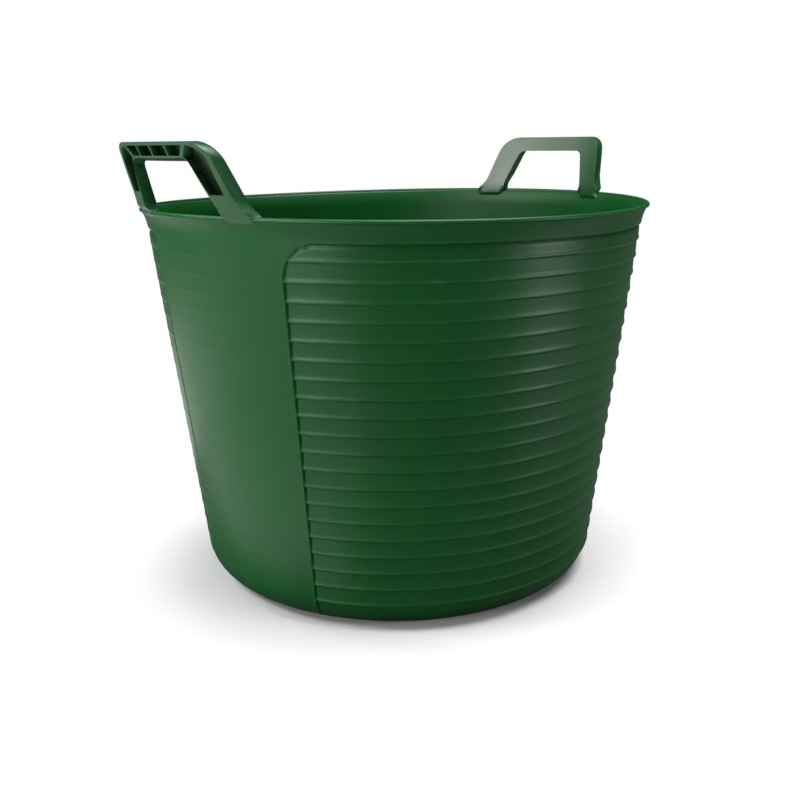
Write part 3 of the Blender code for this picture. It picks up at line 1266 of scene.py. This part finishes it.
    def melting(self, side: float, up: float) -> float:
        """Return how far the inner face has sunk into the wall, so that a foot has no hard edge.

        Args:
            side: Distance along the lip from the handle's middle.
            up: Height above the lip.

        Returns:
            1 where it is hidden in the wall, 0 on the free web.
        """
        grown = unit(1 - up / self.sweep_height) ** 2
        outside = self.leg_edge(up) + self.foot_sweep * grown - side
        inside = side - self.hole_edge(up) + self.hole_sweep * grown
        from_edge = max(0.0, min(outside, inside)) / self.melt
        from_foot = (up + self.sink) / self.melt
        free = float(smooth(np.array(min(from_edge, 1.0)))) * float(smooth(np.array(min(from_foot, 1.0))))
        return (1 - free) * unit((self.melt_top - up) / self.melt)

    def place(self, along: float, up: float, depth: float) -> Vector:
        """Set a flat point on the lip's curve.

        Args:
            along: Distance along the lip from the handle's middle.
            up: Height above the lip.
            depth: Distance out from the web's inner face.

        Returns:
            The point in the tub's frame.
        """
        form = self.form
        share = depth / self.depth
        leg, hole = self.leg_edge(up), self.hole_edge(up)
        side = abs(along)
        across = unit((side - hole) / (leg - hole))
        pull = self.hole_draft * min(1.0, side / hole) + (self.draft - self.hole_draft) * across
        fade = unit(up / self.gusset)
        inner = self.inner_radius(up)
        melted = self.melting(side, up)
        face = self.face_radius(inner, up, melted)
        if side > leg and up < self.sweep_height:
            pull = self.draft * fade + self.sweep_draft * (side - leg)
            fade = 1.0
        hidden = self.wall_radius(up, self.hidden_share)
        inner += max(0.0, hidden - inner) * melted
        r = inner + share * max(face - inner, self.least_depth)
        angle = (along - math.copysign(pull * share * fade, along)) / self.web_radius
        if up > self.hole_top:
            rise = (self.height - up) / self.grip_height
        else:
            rise = max(0.0, up / self.hole_top) ** 3
        lift = form.lip_rise * math.cos(angle) ** 2 * (1 - max(0.0, up) / self.height)
        z = form.rim_height + up + lift + self.grip_draft * rise * share
        angle += self.turn
        sign = self.side.value
        return Vector((sign * r * math.cos(angle), sign * r * math.sin(angle), z))

    def mesh(self) -> bpy.types.Mesh:
        """Build the handle on the lip's curve.

        Returns:
            A closed mesh.
        """
        self.pocket_loops = self.pockets()
        bm = self.flat_solid()
        wide = self.foot_half + self.foot_sweep
        cuts = [((x, 0, 0), (1, 0, 0)) for x in np.arange(-wide, wide, self.slice_step)]
        fine = np.arange(self.slice_gap - self.sink, self.fine_top, self.slice_rise)
        coarse = np.arange(self.fine_top + self.slice_gap, self.height, self.coarse_rise)
        cuts += [((0, y, 0), (0, 1, 0)) for y in np.concatenate([fine, coarse])]
        for spot, normal in cuts:
            geometry = bm.verts[:] + bm.edges[:] + bm.faces[:]
            bmesh.ops.bisect_plane(bm, geom=geometry, dist=1e-7, plane_co=spot, plane_no=normal)
        bmesh.ops.triangulate(bm, faces=[f for f in bm.faces if len(f.verts) > 4])
        flat = [vert.co.copy() for vert in bm.verts]
        for vert in bm.verts:
            vert.co = self.place(*vert.co)
        bmesh.ops.recalc_face_normals(bm, faces=bm.faces)
        mesh = bpy.data.meshes.new(self.side.word + "_loop")
        bm.to_mesh(mesh)
        bm.free()
        # The second value paints shade deep in the channels.
        for name, measure in (("wear_and_painted_sheen", self._wear), ("painted_recess_shade", self._painted_shade)):
            attribute = mesh.attributes.new(name, "FLOAT", "POINT")
            attribute.data.foreach_set("value", [measure(point) for point in flat])
        mesh.shade_smooth()
        mesh.set_sharp_from_angle(angle=math.radians(38))
        return mesh

    def _painted_shade(self, point: Vector) -> float:
        """Find how much painted shade a flat point gets, by how deep it lies in the channel.

        Args:
            point: A point of the flat handle.

        Returns:
            0 outside the channel, up to 1 in its depth.
        """
        if point.z < self.web - self.web_slack:
            return 0.0
        if not any(self._near(pocket, point, self.channel_reach) for pocket in self.pocket_loops):
            return 0.0
        return unit((self.depth - self.shade_start - point.z) / (self.shade_share * self.depth))

    @staticmethod
    def _near(loop: Sequence[Point], point: Vector, reach: float) -> bool:
        """Return whether a loop, widened by a reach, holds a flat point."""
        shifts = ((reach, 0.0), (-reach, 0.0), (0.0, reach), (0.0, -reach))
        return any(holds(loop, point.x + dx, point.y + dy) for dx, dy in shifts)

    def _wear(self, point: Vector) -> float:
        """Find how scuffed a flat point is: most on the flanges' edges and the top.

        Args:
            point: A point of the flat handle.

        Returns:
            How scuffed it is, from 0 to 1.
        """
        at_front = max(0.0, 1 - (self.depth - point.z) / self.edge_round)
        top = max(0.0, 1 - (self.height - point.y) / self.top_reach)
        return min(1.0, self.flange_wear * at_front + self.top_wear * top)

    def build(self) -> bpy.types.Object:
        """Make the piece in place of the imported handle and its roots.

        Returns:
            The piece.
        """
        word = self.side.word
        piece = new_piece(word + "_loop_handle", self.mesh(), [HANDLE])
        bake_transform(piece)
        roots = [f"{word}_handle_root_{leg}" for leg in ("front", "back")]
        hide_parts(word + "_handle", *roots)
        return piece


# --------------------------------------------------------------------------------------------
# Studio
# --------------------------------------------------------------------------------------------


def soft_light(name: str, size: Point, watts: float) -> bpy.types.Object:
    """Make a rectangular light.

    Args:
        name: Its name.
        size: Its two sides.
        watts: Its power.

    Returns:
        The light, not yet in its place.
    """
    data = bpy.data.lights.new(name, "AREA")
    data.shape = "RECTANGLE"
    data.size, data.size_y = size
    data.energy = watts
    return place_in_scene(name, data)


@dataclass(frozen=True)
class SoftBox:
    """One soft rectangular light, aimed at the tub."""

    name: str
    azimuth: float
    elevation: float
    distance: float
    size: Point
    watts: float
    aim: Triple = (0.0, 0.0, 0.18)

    def build(self) -> bpy.types.Object:
        """Hang the light.

        Returns:
            The light.
        """
        light = soft_light(self.name, self.size, self.watts)
        a = math.radians(self.azimuth)
        e = math.radians(self.elevation)
        back = Vector((math.sin(a) * math.cos(e), -math.cos(a) * math.cos(e), math.sin(e)))
        light.location = Vector(self.aim) + back * self.distance
        light.rotation_euler = (-back).to_track_quat("-Z", "Y").to_euler()
        return light


@dataclass(frozen=True)
class FloorCard:
    """One pale card lying on the floor, which throws light up at the tub."""

    name: str
    centre: Point
    size: Point
    watts: float
    rise: float = 0.003

    def build(self) -> bpy.types.Object:
        """Lay the card down, out of the camera's sight.

        Returns:
            The card.
        """
        card = soft_light(self.name, self.size, self.watts)
        card.location = (*self.centre, self.rise)
        card.rotation_euler = (math.pi, 0.0, 0.0)
        card.visible_camera = False
        return card


@dataclass(frozen=True)
class Studio:
    """Pale floor, soft light and the camera."""

    floor_size: float = 60.0
    azimuth: float = -44.5
    distance: float = 0.9117
    height: float = 0.3890
    tilt: float = 0.2573
    pan: float = 0.0029
    roll: float = -0.0127
    lens: float = 44.397
    sensor: float = 36.0
    ambient: float = 0.03
    ceiling_strength: float = 3.5
    ceiling_spread: float = 46.0
    ceiling_azimuth: float = 65.0
    ceiling_elevation: float = 77.0
    lights: tuple[SoftBox, ...] = (
        SoftBox("left_high", -118.0, 40.0, 1.6, (0.5, 0.5), 9.0),
        SoftBox("left_middle", -100.0, 42.0, 1.6, (0.5, 0.5), 3.8),
        SoftBox("left_front", -84.0, 12.0, 1.6, (0.6, 0.6), 8.2),
        SoftBox("left_far", -152.0, 42.0, 1.6, (0.5, 0.5), 3.8),
        SoftBox("right_low", 19.0, 9.0, 1.1, (0.2, 0.12), 1.9, aim=(0.0, 0.0, 0.12)),
        SoftBox("left_low", -118.0, 3.0, 1.1, (0.5, 0.2), 0.3, aim=(0.0, 0.0, 0.06)),
    )
    cards: tuple[FloorCard, ...] = (
        FloorCard("left_card", (-0.72, 0.05), (0.7, 0.9), 0.85),
        FloorCard("back_card", (-0.35, 0.75), (0.9, 0.7), 1.5),
        FloorCard("right_card", (0.45, -0.75), (0.7, 0.6), 0.4),
        FloorCard("near_card", (-0.30, 0.12), (0.14, 0.5), 0.17),
    )

    def build_ceiling(self) -> bpy.types.Object:
        """Hang one very wide soft light overhead, even over the whole floor.

        Returns:
            The light.
        """
        data = bpy.data.lights.new("ceiling", "SUN")
        data.energy = self.ceiling_strength
        data.angle = math.radians(self.ceiling_spread)
        ceiling = place_in_scene("ceiling", data)
        tip = math.radians(90.0 - self.ceiling_elevation)
        ceiling.rotation_euler = (tip, 0.0, math.radians(self.ceiling_azimuth))
        return ceiling

    def build_floor(self) -> bpy.types.Object:
        """Lay the floor.

        Returns:
            The floor.
        """
        half = self.floor_size / 2
        corners = [(-half, -half, 0), (half, -half, 0), (half, half, 0), (-half, half, 0)]
        mesh = bpy.data.meshes.new("floor")
        mesh.from_pydata(corners, [], [[0, 1, 2, 3]])
        mesh.materials.append(StudioFloor().material())
        floor = place_in_scene("floor", mesh)
        return floor

    def build_world(self) -> None:
        """Light the room softly, with a white backdrop behind the tub."""
        g = Graph(bpy.data.worlds.new("studio"), "ShaderNodeOutputWorld")
        seen = g.node("ShaderNodeLightPath", {}, {}, "Is Camera Ray")
        room = g.node("ShaderNodeBackground", {}, {"Color": WHITE, "Strength": self.ambient})
        backdrop = g.node("ShaderNodeBackground", {}, {"Color": WHITE})
        shown = g.node("ShaderNodeMixShader", {}, {0: seen, 1: room, 2: backdrop})
        bpy.context.scene.world = g.finish(shown)

    def build_camera(self) -> bpy.types.Object:
        """Set up the camera.

        Returns:
            The camera.
        """
        data = bpy.data.cameras.new("camera")
        data.lens = self.lens
        data.sensor_width = self.sensor
        camera = place_in_scene("camera", data)
        a = math.radians(self.azimuth)
        place = Matrix.Translation((self.distance * math.sin(a), -self.distance * math.cos(a), self.height))
        turn = Matrix.Rotation(a - self.pan, 4, "Z") @ Matrix.Rotation(math.pi / 2 - self.tilt, 4, "X")
        camera.matrix_world = place @ turn @ Matrix.Rotation(self.roll, 4, "Z")
        bpy.context.scene.camera = camera
        return camera

    def build(self) -> None:
        """Build the whole studio."""
        self.build_floor()
        self.build_world()
        self.build_ceiling()
        for light in self.lights + self.cards:
            light.build()
        self.build_camera()
        bpy.context.scene.view_settings.view_transform = "Standard"


# How far each handle is moulded off its side's middle.
HANDLE_TURNS = {Side.LEFT: math.radians(-0.9), Side.RIGHT: math.radians(-0.3)}


def main() -> None:
    """Build every piece in order."""
    logging.basicConfig(level=logging.INFO)
    form = TubForm()
    parts: list[Any] = [HalfShell(form, side) for side in Side]
    parts.append(FloorDisc(form))
    parts += [LoopHandle(form, side, turn=HANDLE_TURNS[side]) for side in Side]
    for part in parts:
        part.build()
    Studio().build()


if __name__ == "__main__":
    main()
